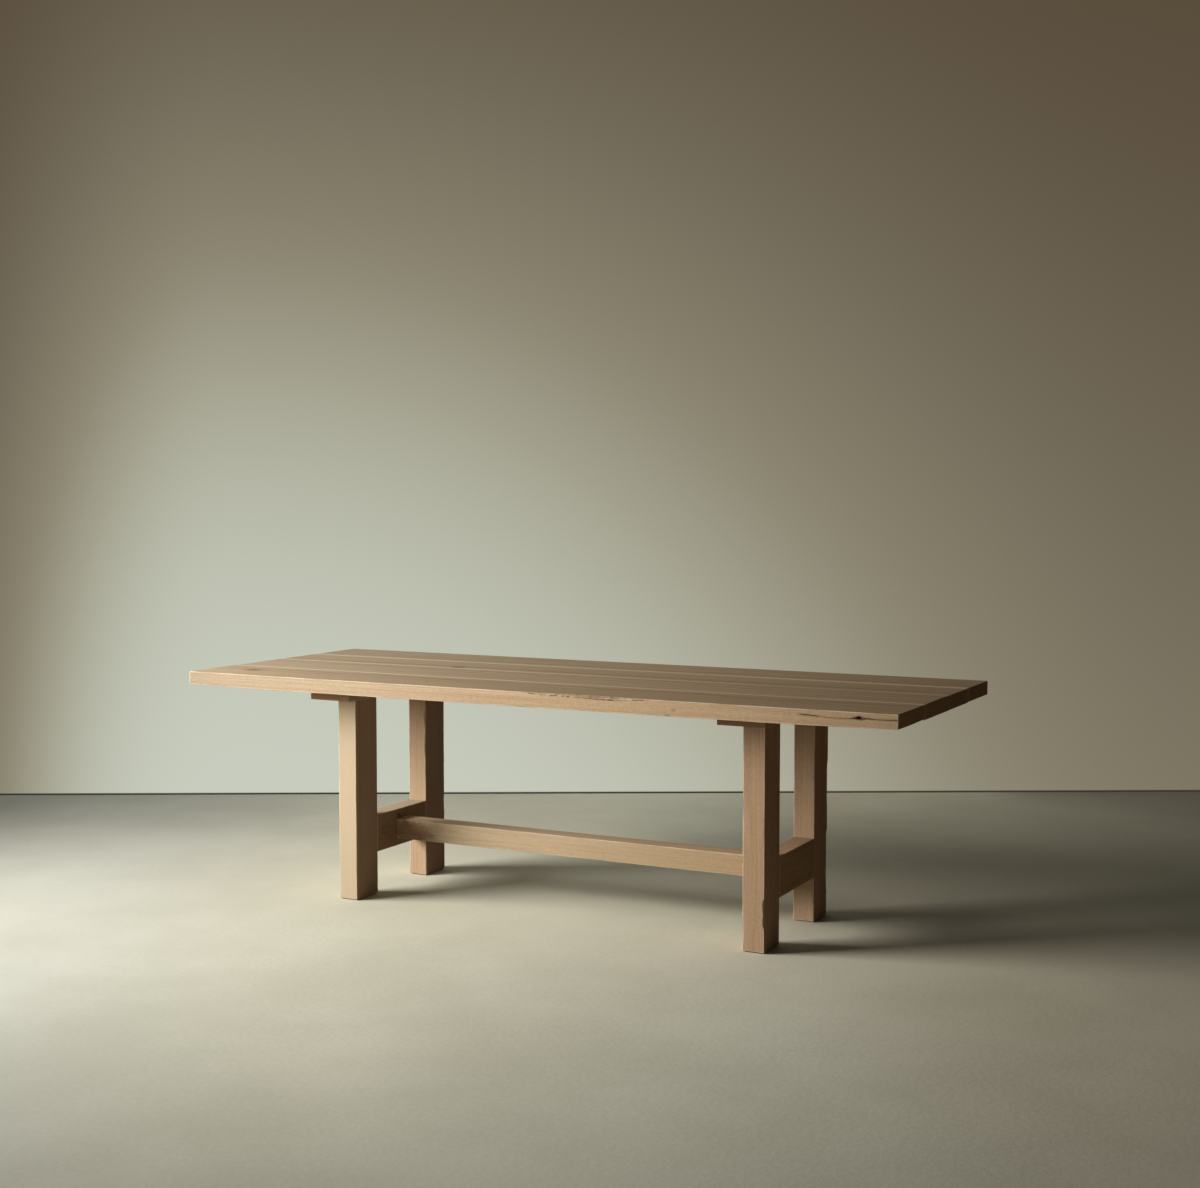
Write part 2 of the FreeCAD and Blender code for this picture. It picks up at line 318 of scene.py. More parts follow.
def wall_material():
    """A plain wall that glows with painted light from the left, brighter low down, seen directly and in
    reflections.
    """
    material, n = new_material("wall")
    along, _, height = n.parts(n.object_place())
    low_down = n.between(height, *WALL_FADE_UP)
    near_left = n.between(along, *WALL_FADE_RIGHT, WALL_RIGHT_SHARE, 1.0)
    past_left = n.between(along, *WALL_FADE_LEFT)
    lit = n.times(n.times(near_left, past_left), low_down)
    colour = n.mix(n.between(lit, *DIM_TO_MIDDLE), BACKDROP_DIM, BACKDROP_MIDDLE)
    colour = n.mix(n.between(lit, *MIDDLE_TO_PALE), colour, BACKDROP_PALE)
    # The painted shadow line along the wall's foot
    colour = n.mix(n.between(height, *FOOT_SHADOW_LINE), colour, WALL_FOOT_SHADOW)
    shown = n.put("Emission", {"Color": colour}).outputs[0]
    n.output(see_through_behind(n, shown))
    return material


def flat_mesh(name, corners, material):
    """One face of the stage. It is seen, but doesn't count as a lamp."""
    material.cycles.emission_sampling = "NONE"
    mesh = bpy.data.meshes.new(name)
    mesh.from_pydata(corners, [], [tuple(range(len(corners)))])
    mesh.materials.append(material)
    thing = link(bpy.data.objects.new(name, mesh))
    return thing


def make_floor():
    corners = [(x * FLOOR_REACH, y * FLOOR_REACH, 0.0) for x, y in CORNERS]
    flat_mesh("floor", corners, floor_material())


def make_wall():
    run = [end - start for start, end in zip(WALL_START, WALL_END)]
    foot = [(-WALL_REACH, 0.0, 0.0), (WALL_REACH, 0.0, 0.0)]
    head = [(WALL_REACH, 0.0, WALL_HEIGHT), (-WALL_REACH, 0.0, WALL_HEIGHT)]
    wall = flat_mesh("wall", foot + head, wall_material())
    wall.location = (*WALL_START, 0.0)
    wall.rotation_euler = (0.0, 0.0, math.atan2(run[1], run[0]))
    for way in ("diffuse", "transmission", "shadow"):
        setattr(wall, "visible_" + way, False)


# -------- materials

OAK_PALE = srgb(206, 181, 149)
OAK_DARK = srgb(160, 131, 101)
OAK_PORE = srgb(112, 82, 56)
OAK_RAY = srgb(214, 190, 158)
OAK_SAP = srgb(219, 202, 170)
OAK_WORN_AND_HIGHLIGHT = srgb(232, 214, 186)
OAK_END = srgb(150, 111, 75)
OAK_STREAK = srgb(134, 106, 80)
OAK_KNOT = srgb(72, 60, 50)
OAK_HEART_AND_SHADOW = srgb(136, 90, 58)
OAK_BARK = srgb(58, 42, 31)

# Painted light on the boards: tints of cooler light on their left halves and warmer on their right, and
# the painted shade of their flats
PAINTED_LIGHT_LEFT = (0.90, 0.955, 1.03, 1.0)
PAINTED_LIGHT_RIGHT = (1.0, 0.965, 0.91, 1.0)
PAINTED_FLAT_SHADE = (0.965, 0.960, 0.915, 1.0)
WHITE = (1.0, 1.0, 1.0, 1.0)

# The middle of the range from pale to dark wood, about which a figure is weakened
MEAN_DARK = 0.45

# Where painted shade and a painted falloff of light leave the wood as it is: a leg's height, and the
# square of the distance from the table's middle along a board
PAINTED_SHADE_LEVEL = 0.30
PAINTED_FALLOFF_LEVEL = 0.5
BOARD_HALF_LENGTH = 1.2

# How squarely a face has to look along an axis for a tone to set in (the end grain's, and painted light
# or shade on faces towards +X), and so for the boards' flats, which get painted shade
FACING = (0.55, 0.85)
FLAT = (0.5, 0.8)

# A band of sapwood wavers by up to half of this width, and fades over this stretch along the grain
BAND_SWAY = 12 * MM
BAND_FADE = (-0.6, 0.6)

# Which axis of the object the grain follows, and the two across it
ORDER = {"X": "XYZ", "Y": "YZX", "Z": "ZXY"}

# How often each part of the figure changes in a metre, along the grain and on the two axes across it
BENDS = (0.9, 2.2, 2.2)
WAVES = (7.0, 32.0, 32.0)
BROAD_STREAKS = (0.75, 30.0, 30.0)
NARROW_STREAKS = (2.8, 210.0, 210.0)
FLECKS = (70.0, 300.0, 300.0)
PORES = (75.0, 1500.0, 1500.0)
RAYS = (45.0, 220.0, 30.0)
FIBRES = (14.0, 420.0, 420.0)

# How far the grain bends and waves across, and how much flecks lean
BEND_REACH = (0.0, 18 * MM, 18 * MM)
WAVE_REACH = (0.0, 3 * MM, 3 * MM)
FLECK_LEAN = 0.28

FIGURE_PARTS = ("Early", "Streak", "Pore", "Ray", "Fibre")


def figure_group():
    """An empty node group with the wood figure's inputs and outputs."""
    group = bpy.data.node_groups.new("wood_figure", "ShaderNodeTree")
    n = Nodes(group)
    group.interface.new_socket("Grain", in_out="INPUT", socket_type="NodeSocketVector")
    for name in ("Ring", "Broad"):
        group.interface.new_socket(name, in_out="INPUT", socket_type="NodeSocketFloat")
    for name in FIGURE_PARTS:
        group.interface.new_socket(name, in_out="OUTPUT", socket_type="NodeSocketFloat")
    return group, n


def bent_grain(n, grain):
    """The grain's place on a log that isn't quite straight."""
    middle = (0.5, 0.5, 0.5)
    bend = n.vector("SUBTRACT", n.noise(grain, BENDS, 1.0, output="Color"), middle)
    wave = n.vector("SUBTRACT", n.noise(grain, WAVES, 1.0, output="Color"), middle)
    bent = n.vector("ADD", grain, n.vector("MULTIPLY", bend, BEND_REACH))
    return n.vector("ADD", bent, n.vector("MULTIPLY", wave, WAVE_REACH))


def early_wood(n, radius, ring_width):
    """How much of a ring's porous early wood is there. Rings differ in how strong they are."""
    rings = n.math("DIVIDE", radius, ring_width)
    ring_tone = n.put("TexWhiteNoise", {"W": n.math("FLOOR", rings)}, noise_dimensions="1D")
    share = n.math("FRACT", rings)
    onset = n.between(share, 0.0, 0.14)
    fade = n.between(share, 0.85, 0.25)
    strength = n.add(n.times(ring_tone.outputs["Value"], 0.7), 0.3)
    return n.times(n.times(onset, fade), strength)


def streaks(n, grain, broad_share):
    """Streaks of colour along the grain, broad and narrow, with short leaning flecks."""
    broad = n.noise(grain, BROAD_STREAKS, 2.0, 0.5)
    narrow = n.noise(grain, NARROW_STREAKS, 3.0, 0.6)
    along, across, through = n.parts(grain)
    lean = n.times(along, FLECK_LEAN)
    fleck = n.noise(n.join(along, n.add(across, lean), n.add(through, lean)), FLECKS, 2.0)
    narrow_share = n.math("SUBTRACT", 0.65, broad_share)
    streak = n.add(n.times(broad, broad_share), n.times(narrow, narrow_share))
    return n.add(streak, n.times(fleck, 0.35))


def wood_figure():
    """Rings, pores, rays and colour streaks of ring-porous wood, with the pith along X."""
    group, n = figure_group()
    given = n.tree.nodes.new("NodeGroupInput").outputs
    grain = given["Grain"]
    bent = bent_grain(n, grain)
    radius = n.vector("LENGTH", n.vector("MULTIPLY", bent, (0.0, 1.0, 1.0)))
    early = early_wood(n, radius, given["Ring"])
    streak = streaks(n, grain, given["Broad"])
    speck = n.noise(grain, PORES, 2.0)
    pore = n.times(n.between(speck, 0.57, 0.68), n.add(n.times(early, 0.75), 0.25))
    along, across, through = n.parts(bent)
    spoke = n.join(along, n.math("ARCTAN2", through, across), radius)
    ray = n.between(n.noise(spoke, RAYS, 2.0), 0.60, 0.72)
    fibre = n.noise(grain, FIBRES, 3.0, 0.6)
    result = n.tree.nodes.new("NodeGroupOutput")
    for name, value in zip(FIGURE_PARTS, (early, streak, pore, ray, fibre)):
        n.feed(result.inputs[name], value)
    return group


FIGURE = wood_figure()


def in_order(n, vector, grain_axis):
    """The same vector with the part along the grain first."""
    parts = n.parts(vector)
    return n.join(*(parts[axis] for axis in ORDER[grain_axis]))


def round_knot(n, at, place, reach):
    """Leads the grain round a knot. Returns the new place and how much of a knot is there."""
    away = n.vector("SUBTRACT", place, at)
    scaled = n.vector("MULTIPLY", away, tuple(1 / (r * MM) for r in reach))
    distance = n.vector("LENGTH", scaled)
    pull = n.between(distance, 2.6, 0.2, 0.0, 0.75)
    shift = n.vector("MULTIPLY", away, n.join(pull, pull, pull))
    rough_edge = n.add(distance, n.times(n.noise(at, (60.0, 90.0, 90.0)), 0.7))
    return n.vector("ADD", at, shift), n.between(rough_edge, 1.25, 0.75)


def round_knots(n, at, knots):
    """Leads the grain round each knot in turn, and finds how dark a knot makes the wood."""
    knotty = 0.0
    for place, reach, darkness in knots:
        at, amount = round_knot(n, at, place, reach)
        knotty = n.math("MAXIMUM", knotty, n.times(amount, darkness))
    return at, knotty


def band(n, along, across, place, half_width, strength, faded=1.0):
    """A long streak of lighter (above 0) or darker wood that follows the grain, a little unevenly.
    faded is the share of its strength that is left far along the grain."""
    sway = n.times(n.math("SUBTRACT", n.noise(along, (2.1, 0.0, 0.0), 3.0), 0.5), BAND_SWAY)
    off = n.math("ABSOLUTE", n.add(across, sway, -place))
    uneven = n.add(n.noise(along, (1.4, 0.0, 0.0), 2.0), 0.45)
    fading = n.between(n.parts(along)["X"], *BAND_FADE, strength, strength * faded)
    return n.times(n.times(n.between(off, half_width, 0.2 * half_width), uneven), fading)


def banded(n, colour, along, across, bands):
    """The colour with its bands of sapwood and of dark streaks."""
    along = n.join(along)
    total = n.add(*(band(n, along, across, *each) for each in bands))
    colour = n.mix(n.math("ADD", total, 0.0, True), colour, OAK_SAP)
    return n.mix(n.math("MULTIPLY", total, -1.0, True), colour, OAK_STREAK)


def with_painted_falloff(n, colour, x, flatness, painted_falloff):
    """A board's colour with painted light on it: a painted falloff along the board, on its edges and
    otherwise on its flats, cooler light on its left half and warmer on its right, and painted shade on
    its flats.
    """
    edge_fall, edge_slope, flat_fall, flat_slope = painted_falloff
    fall = n.between(flatness, *FLAT, edge_fall, flat_fall)
    slope = n.between(flatness, *FLAT, edge_slope, flat_slope)
    off = n.math("SUBTRACT", PAINTED_FALLOFF_LEVEL, n.times(x, x))
    change = n.add(1.0, n.times(fall, off), n.times(slope, x))
    side = n.mix(n.between(x, -BOARD_HALF_LENGTH, BOARD_HALF_LENGTH), PAINTED_LIGHT_LEFT, PAINTED_LIGHT_RIGHT)
    colour = n.toned(n.toned(colour, change), side)
    return n.toned(colour, n.mix(n.between(flatness, *FLAT), WHITE, PAINTED_FLAT_SHADE))


def clear_oak(n, figured, early, streak, pore, ray, fibre):
    """The colour of oak without knots or bands, from the parts of its figure."""
    dark = n.add(n.times(early, 0.30), n.between(streak, 0.34, 0.66, -0.02, 0.56), n.times(fibre, 0.18))
    dark = n.add(n.times(n.math("SUBTRACT", dark, MEAN_DARK), figured), MEAN_DARK)
    colour = n.mix(n.math("ADD", dark, 0.0, True), OAK_PALE, OAK_DARK)
    colour = n.mix(n.times(ray, 0.34 * figured), colour, OAK_RAY)
    return n.mix(n.times(pore, 0.55), colour, OAK_PORE)


def oak(name, grain_axis, pith, shift, ring, tone, broad=0.20, figured=0.5,
        knots=(), bands=(), painted_falloff=(), painted_side_light=(), painted_height_shade=0.0, knot_colour=OAK_KNOT):
    """Matt oiled oak. pith is the log's middle on the two axes across the grain, shift a place along
    it, ring its rings' width in millimetres, broad the share of wide streaks and figured how strong
    the figure is. A knot is its place, its reach in millimetres and its darkness, and a band its
    place on Y, half width and strength. drift is a board's painted falloff of light: its darkening
    towards both ends and its slope, on the edges and then on the flats. painted_side_light is a tone of
    the faces that look towards +X, painted light where above 1 and painted shade where below, and rise
    how a leg's painted shade changes with each metre of height."""
    material, n = new_material(name)
    coordinates = n.put("TexCoord").outputs
    at = coordinates["Object"]
    placed, knotty = round_knots(n, at, knots)
    grain = n.vector("ADD", in_order(n, placed, grain_axis), (shift, -pith[0], -pith[1]))
    given = {"Grain": grain, "Ring": ring * MM, "Broad": broad}
    figure = n.put("Group", given, node_tree=FIGURE).outputs
    early, streak, pore, ray, fibre = (figure[part] for part in FIGURE_PARTS)
    facing = n.parts(coordinates["Normal"])
    end = n.between(n.math("ABSOLUTE", facing[grain_axis]), *FACING)
    parts = n.parts(at)

    colour = clear_oak(n, figured, early, streak, pore, ray, fibre)
    # Painted light: a falloff along the board, cooler light on its left half and warmer on its right, and
    # painted shade on its flats
    if painted_falloff:
        colour = with_painted_falloff(n, colour, parts["X"], n.math("ABSOLUTE", facing["Z"]), painted_falloff)
    # Painted shade that changes with a leg's height
    if painted_height_shade:
        colour = n.toned(colour, n.add(1.0 - PAINTED_SHADE_LEVEL * painted_height_shade, n.times(parts["Z"], painted_height_shade)))
    if bands:
        colour = banded(n, colour, parts[grain_axis], parts["Y"], bands)
    colour = n.mix(n.times(end, 0.65), colour, OAK_END)
    # Painted light or shade on the faces that look towards +X: light where the tone is above 1, shade
    # where it is below
    if painted_side_light:
        sideways = n.between(facing["X"], *FACING)
        colour = n.toned(colour, n.mix(sideways, WHITE, (*painted_side_light, 1.0)))
    colour = n.toned(colour, (*tone, 1.0))
    # Lighter worn arrises: partly real wear and partly a painted highlight
    colour = n.mix(n.times(n.attribute("wear_and_highlight"), 0.60), colour, OAK_WORN_AND_HIGHLIGHT)
    colour = n.mix(knotty, colour, knot_colour)
    colour = n.mix(n.attribute("stain"), colour, OAK_BARK)

    rough = n.add(0.70, *n.weighted((pore, 0.16), (ray, -0.10), (streak, 0.10), (end, 0.1)))
    height = n.add(*n.weighted((pore, -0.6), (fibre, 0.7), (streak, 0.9), (early, -0.35)))
    n.output(n.surface(colour, rough, height, 0.55, 0.35 * MM, {"Specular IOR Level": 0.04}))
    return material


BEECH_PALE = srgb(224, 190, 152)
BEECH_DARK = srgb(196, 156, 116)
BEECH_FLECK = srgb(160, 112, 76)
BEECH_PITH = (0.0, 0.11, 0.07)


def beech(name, grain_axis):
    """Bare beech: fine even rings and many short brown flecks."""
    material, n = new_material(name)
    grain = n.vector("ADD", in_order(n, n.object_place(), grain_axis), BEECH_PITH)
    streak = n.noise(grain, (6.0, 240.0, 240.0), 3.0)
    fleck = n.between(n.noise(grain, (260.0, 1500.0, 900.0), 1.0), 0.62, 0.70)
    colour = n.mix(n.between(streak, *NOISE_RANGE), BEECH_PALE, BEECH_DARK)
    colour = n.mix(n.times(fleck, 0.6), colour, BEECH_FLECK)
    rough = n.add(0.55, n.times(streak, 0.15))
    n.output(n.surface(colour, rough, n.add(streak, fleck), 0.4, 0.1 * MM))
    return material


ZINC_BRIGHT = srgb(196, 199, 204)
ZINC_DULL = srgb(150, 152, 158)


def zinc():
    """Satin zinc plate with a dull bloom and fine scratches."""
    material, n = new_material("zinc_steel")
    at = n.object_place()
    bloom = n.noise(at, 260.0, 4.0, 0.6)
    scratch = n.between(n.noise(at, (4000.0, 300.0, 900.0), 1.0), 0.60, 0.66)
    colour = n.mix(n.between(bloom, 0.3, 0.7), ZINC_BRIGHT, ZINC_DULL)
    rough = n.add(0.26, *n.weighted((bloom, 0.25), (scratch, 0.12)))
    n.output(n.surface(colour, rough, n.add(bloom, scratch), 0.3, 0.03 * MM, {"Metallic": 1.0}))
    return material


FELT_LIGHT = srgb(104, 92, 78)
FELT_DARK = srgb(66, 56, 46)


def felt():
    """Pressed brown-grey felt: tangled fibres with a soft edge glow."""
    material, n = new_material("felt")
    at = n.object_place()
    tangle = n.noise(at, 1400.0, 5.0, 0.7)
    clump = n.noise(at, 180.0, 3.0)
    mottle = n.add(*n.weighted((tangle, 0.6), (clump, 0.4)))
    colour = n.mix(n.between(mottle, *NOISE_RANGE), FELT_DARK, FELT_LIGHT)
    rough = n.add(0.85, n.times(clump, 0.12))
    n.output(n.surface(colour, rough, tangle, 0.8, 0.4 * MM, {"Sheen Weight": 0.4}))
    return material


# -------- shaping

# The radius of the arrises and of the top's worn corner, and how uneven the flats are
BOARD_ARRIS = 1.8 * MM
FRAME_ARRIS = 1.9 * MM
WORN_CORNER = 10.0 * MM
BOARD_UNEVEN = 0.25 * MM
RAIL_UNEVEN = 0.25 * MM
FRAME_UNEVEN = 0.3 * MM

# Where the grid has lines over an arris, as shares of its radius, and how close two lines may be
ARRIS_SHARES = (0.0, 0.423, 0.732, 1.0, 1.7)
CLOSEST_SHARE = 0.2

# The lengths of the waves in an arris's radius and in its wear, and by what share the radius changes
RADIUS_WAVE = 0.31
WEAR_WAVE = 0.23
RADIUS_SPREAD = 0.3
RADIUS_LIMITS = (0.45, 1.9)

# How often unevenness and roughness change in a metre, along the grain and across it
BOARD_WAVES = (2.0, 12.0)
FRAME_WAVES = (4.0, 14.0)
ROUGH_WAVES = (60.0, 420.0)

# The least cut that counts as one, and how far from it points are still looked at
LEAST_CUT = 0.3 * MM
CUT_BORDER = -0.6


def cuts(low, high, step, arris, *fine):
    """Places from low to high for grid lines: close ones over each arris, then step by step, and
    closer in each fine stretch, which is its start, end and step."""
    places = [low + share * arris for share in ARRIS_SHARES]
    places += [high - share * arris for share in ARRIS_SHARES]
    inset = ARRIS_SHARES[-1] * arris
    stretches = [(low + inset, high - inset, step), *fine]
    for start, end, pace in stretches:
        count = max(1, round((end - start) / pace))
        places += list(np.linspace(start, end, count + 1))
    places = np.unique(np.clip(places, low, high))
    closest = CLOSEST_SHARE * arris
    kept = [places[0]]
    for place in places[1:-1]:
        if place - kept[-1] > closest and places[-1] - place > closest:
            kept.append(place)
    return np.array([*kept, places[-1]])


def ripple(along, wavelength, seed):
    """A smooth uneven wave between about -1 and 1, the same for the same seed."""
    chance = np.random.RandomState(seed)
    total = np.zeros_like(along)
    for share in (1.0, 0.61, 0.37, 0.23):
        start = chance.uniform(0, 2 * math.pi)
        total += share * np.sin(2 * math.pi * along / (wavelength * share) + start)
    return total / 1.6


def grain_noise(points, stretch, seed):
    """Rough noise between about -1 and 1 at each point, stretched by a factor on each axis."""
    scaled = points * stretch + (17.3 * seed, 0.0, 0.0)
    return np.array([noise.noise(place) for place in scaled.tolist()])


class Member:
    """One wooden member: the surface of its box as a grid of points, to be worn into shape."""

    def __init__(self, node, lines):
        self.node = node
        counts = [len(places) for places in lines]
        outside = np.zeros(counts, bool)
        for axis in range(3):
            np.moveaxis(outside, axis, 0)[[0, -1]] = True
        self.numbers = np.full(counts, -1)
        self.numbers[outside] = np.arange(outside.sum())
        where = np.argwhere(outside).T
        self.points = np.column_stack([places[number] for places, number in zip(lines, where)])
        self.low = self.points.min(0)
        self.high = self.points.max(0)
        self.home = self.points.copy()
        self.wear_and_highlight = np.zeros(len(self.points))
        self.stain = np.zeros(len(self.points))

    def faces(self):
        """Four corners per face, counter-clockwise from outside."""
        found = []
        for axis in range(3):
            for side, outward in ((0, False), (-1, True)):
                sheet = np.moveaxis(self.numbers, axis, 0)[side]
                corners = [sheet[:-1, :-1], sheet[1:, :-1], sheet[1:, 1:], sheet[:-1, 1:]]
                if outward == (axis == 1):
                    corners.reverse()
                found.append(np.stack([c.ravel() for c in corners], axis=1))
        return np.concatenate(found)

    def round_arrises(self, radius, seed):
        """Eases every arris, by a radius that varies along it."""
        spread = np.zeros(len(self.points))
        for axis in range(3):
            spread += ripple(self.points[:, axis], RADIUS_WAVE, seed + axis)
        local = (radius * np.clip(1 + RADIUS_SPREAD * spread / 1.8, *RADIUS_LIMITS))[:, None]
        inner = np.clip(self.points, self.low + local, self.high - local)
        out = self.points - inner
        reach = np.linalg.norm(out, axis=1, keepdims=True)
        moved = inner + out * local / reach
        nearest = np.minimum(self.points - self.low, self.high - self.points)
        to_arris = np.sort(nearest, axis=1)[:, 1] / radius
        # How worn and lighter each point is near an arris: partly real wear, partly a painted highlight
        uneven = np.clip(0.75 + 0.5 * ripple(self.points.sum(1), WEAR_WAVE, seed), 0.25, 1)
        self.wear_and_highlight = np.clip((1.7 - to_arris) / 0.7, 0, 1) * uneven
        self.points = moved

    def undulate(self, amount, seed, axis, waves):
        """Leaves the flats slightly uneven, always inwards, with the grain along an axis."""
        stretch = stretched(axis, *waves)
        middle = (self.low + self.high) / 2
        half = (self.high - self.low) / 2
        depth = amount * (0.5 + 0.5 * np.clip(grain_noise(self.home, stretch, seed) * 1.6, -1, 1))
        side = np.abs(self.home - middle) / half > 0.9999
        self.points -= np.sign(self.home - middle) * side * depth[:, None]

    def cut_arris(self, axis, ends, back, drop, seed, stain, roughness):
        """Takes the arris that runs along axis off: ends says which side it is on, on the other two
        axes, and back and drop, for each point, how far the cut reaches on each face."""
        first, second = [a for a in range(3) if a != axis]
        corner = [(self.high if ends[i] > 0 else self.low)[a] for i, a in enumerate((first, second))]
        u = (corner[0] - self.points[:, first]) * ends[0]
        v = (corner[1] - self.points[:, second]) * ends[1]
        back = np.maximum(back, 1e-6)
        drop = np.maximum(drop, 1e-6)
        outside = 1 - u / back - v / drop
        near = (outside > CUT_BORDER) & (back > LEAST_CUT) & (drop > LEAST_CUT)
        slope = np.hypot(back, drop)
        depth = np.where(near, np.maximum(outside, 0) * back * drop / slope, 0)
        grooves = grain_noise(self.points[near], stretched(axis, *ROUGH_WAVES), seed)
        inside = np.clip(outside[near] / 0.15, 0, 1)
        depth[near] += roughness * inside * (0.5 + 0.5 * grooves)
        self.points[:, first] -= ends[0] * depth * drop / slope
        self.points[:, second] -= ends[1] * depth * back / slope
        self.stain = np.maximum(self.stain, stain * np.clip(outside / 0.2, 0, 1) * near)

    def build(self, slot, material):
        """Makes the piece, which replaces the frame's own solid."""
        mesh = bpy.data.meshes.new("dressed_" + self.node)
        mesh.from_pydata(self.points.tolist(), [], self.faces().tolist())
        for name, values in (("wear_and_highlight", self.wear_and_highlight), ("stain", self.stain)):
            attribute = mesh.attributes.new(name, "FLOAT", "POINT")
            attribute.data.foreach_set("value", values.astype(np.float32))
        mesh.polygons.foreach_set("use_smooth", [True] * len(mesh.polygons))
        mesh.materials.append(material)
        mesh.update()
        piece = link(bpy.data.objects.new("dressed_" + self.node, mesh))
        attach(piece, "root")
        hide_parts(self.node)


def stretched(axis, along, across):
    """A noise's stretch for wood whose grain runs along an axis."""
    return [along if other == axis else across for other in range(3)]


def smooth_step(value, start, end):
    share = np.clip((value - start) / (end - start), 0, 1)
    return share * share * (3 - 2 * share)


def profile(along, stops):
    """A value for each place, eased between stops of place and value."""
    total = np.full_like(along, stops[0][1])
    for (start, before), (end, after) in zip(stops, stops[1:]):
        total += (after - before) * smooth_step(along, start, end)
    return total


def straight_profile(along, stops):
    """A value for each place, on straight lines between stops of place and value."""
    return np.interp(along, *zip(*stops))


def eased_member(node, spans, steps, arris, seed, fine=((), (), ())):
    """A member whose grid spans these stretches of X, Y and Z, with its arrises eased."""
    lines = [cuts(*span, step, arris, *near) for span, step, near in zip(spans, steps, fine)]
    member = Member(node, lines)
    member.round_arrises(arris, seed)
    return member


# -------- the top


def relieve_underside(member, left_rise, left_run, right_rise, right_run, hollow=0.0):
    """Raises a board's underside towards its two ends, and there more at its two edges if hollow."""
    x, y, z = member.home.T
    middle = (member.low[1] + member.high[1]) / 2
    off_middle = (y - middle) / (member.high[1] - middle)
    left = left_rise * smooth_step(-x, -member.low[0] - left_run, -member.low[0] + left_run)
    right = right_rise * smooth_step(x, member.high[0] - right_run, member.high[0] + right_run)
    share = (member.high[2] - z) / (member.high[2] - member.low[2])
    member.points[:, 2] += 2 * (left + right) * share * (1 - hollow + 2 * hollow * off_middle ** 2)


# The split in the front board's edge, past the knot hole to the board's end: its line, as places along
# the board and heights, and how far it is open, from 0 to 1
SPLIT = (
    (0.918, 0.7302), (0.945, 0.7286), (0.966, 0.7275), (1.001, 0.7247), (1.042, 0.7234),
    (1.077, 0.7256), (1.116, 0.7271), (1.151, 0.7253), (1.200, 0.7264),
)
SPLIT_OPENING = ((0.915, 0.0), (0.935, 1.0), (0.968, 1.0), (0.990, 0.5), (1.05, 0.5), (1.08, 1.0),
                 (1.12, 1.0), (1.15, 0.8), (1.2, 0.9))
SPLIT_DEPTH = 2.2 * MM
SPLIT_HALF_WIDTH = 1.25 * MM
SPLIT_HALO = 3.2 * MM
KNOT_HOLE = (1.0915, 0.7290)
KNOT_HOLE_REACH = (9.0 * MM, 3.9 * MM)
KNOT_HOLE_DEPTH = 7.0 * MM


def split_front(member):
    """Opens the split and the knot hole in the board's front edge."""
    x, y, z = member.home.T
    front = np.isclose(y, member.low[1])
    line = straight_profile(x, SPLIT) + 0.5 * MM * ripple(x, 0.035, 5)
    opened = profile(x, SPLIT_OPENING)
    off = (z - line) / (SPLIT_HALF_WIDTH * (0.7 + 0.6 * opened))
    groove = np.exp(-off * off) * opened * front
    halo = np.exp(-(z - line) ** 2 / SPLIT_HALO ** 2) * opened * front
    hole_x = (x - KNOT_HOLE[0]) / KNOT_HOLE_REACH[0]
    hole_z = (z - KNOT_HOLE[1]) / KNOT_HOLE_REACH[1]
    distance = np.hypot(hole_x, hole_z) + 0.08 * ripple(np.arctan2(hole_z, hole_x), 2.1, 9)
    hole = (1 - smooth_step(distance, 0.45, 1.1)) * front
    collar = (1 - smooth_step(np.hypot(hole_x * 0.32, hole_z * 0.45), 0.3, 1.0)) * front
    member.points[:, 1] += SPLIT_DEPTH * groove + KNOT_HOLE_DEPTH * hole
    for amount in (0.95 * groove, 0.36 * halo, 1.0 * hole, 0.34 * collar):
        member.stain = np.maximum(member.stain, amount)


# The wane on the front board's upper front arris: how far it reaches down the front and back on the
# top, in millimetres, its cracks, each with its start, end and strength, and its pits, each with its
# place, half width and strength
WANE_DROP = ((0.045, 0.0), (0.068, 3.1), (0.102, 6.5), (0.135, 8.0), (0.200, 7.7), (0.250, 8.6),
             (0.300, 10.6), (0.350, 10.8), (0.400, 8.2), (0.445, 5.7), (0.470, 3.5), (0.495, 0.0))
WANE_BACK = ((0.040, 0.0), (0.120, 9.0), (0.260, 12.0), (0.370, 11.0), (0.440, 6.0), (0.490, 0.0))
WANE_CRACKS = ((0.075, 0.099, 0.75), (0.118, 0.126, 0.60), (0.129, 0.136, 0.60), (0.149, 0.171, 0.90),
               (0.228, 0.270, 0.35), (0.270, 0.303, 0.50), (0.303, 0.332, 0.80), (0.364, 0.387, 0.50),
               (0.418, 0.456, 0.85), (0.459, 0.475, 0.40))
WANE_PITS = ((0.1915, 3.5 * MM, 0.90), (0.2085, 5.5 * MM, 0.80), (0.3475, 10.0 * MM, 1.00))
CRACK_HEIGHT = 1.9 * MM
CRACK_HEIGHT_SHARE = 0.28
CRACK_HALF_WIDTH = 1.5 * MM
CRACK_DEPTH = 1.4 * MM
CRACK_END = 2 * MM
PIT_HALF_HEIGHT = 1.9 * MM

# Cracks stay on the wane: this near to the front, this little below the wane, where it is this large
CRACKED_BACK = 14 * MM
CRACKED_BELOW = 3 * MM
CRACKED_DROP = 1.5 * MM


def wane_front(member):
    """Takes the wane off the front board's upper front arris, and cracks its face."""
    x = member.home[:, 0]
    drop = MM * straight_profile(x, WANE_DROP) * (1 + 0.05 * ripple(x, 0.05, 21))
    back = MM * straight_profile(x, WANE_BACK) * (1 + 0.12 * ripple(x, 0.06, 22))
    stain = 0.13 + 0.22 * smooth_step(drop, 8 * MM, 10.5 * MM)
    member.cut_arris(0, (-1, 1), back, drop, 31, stain=stain, roughness=0.8 * MM)
    fissures(member, drop)


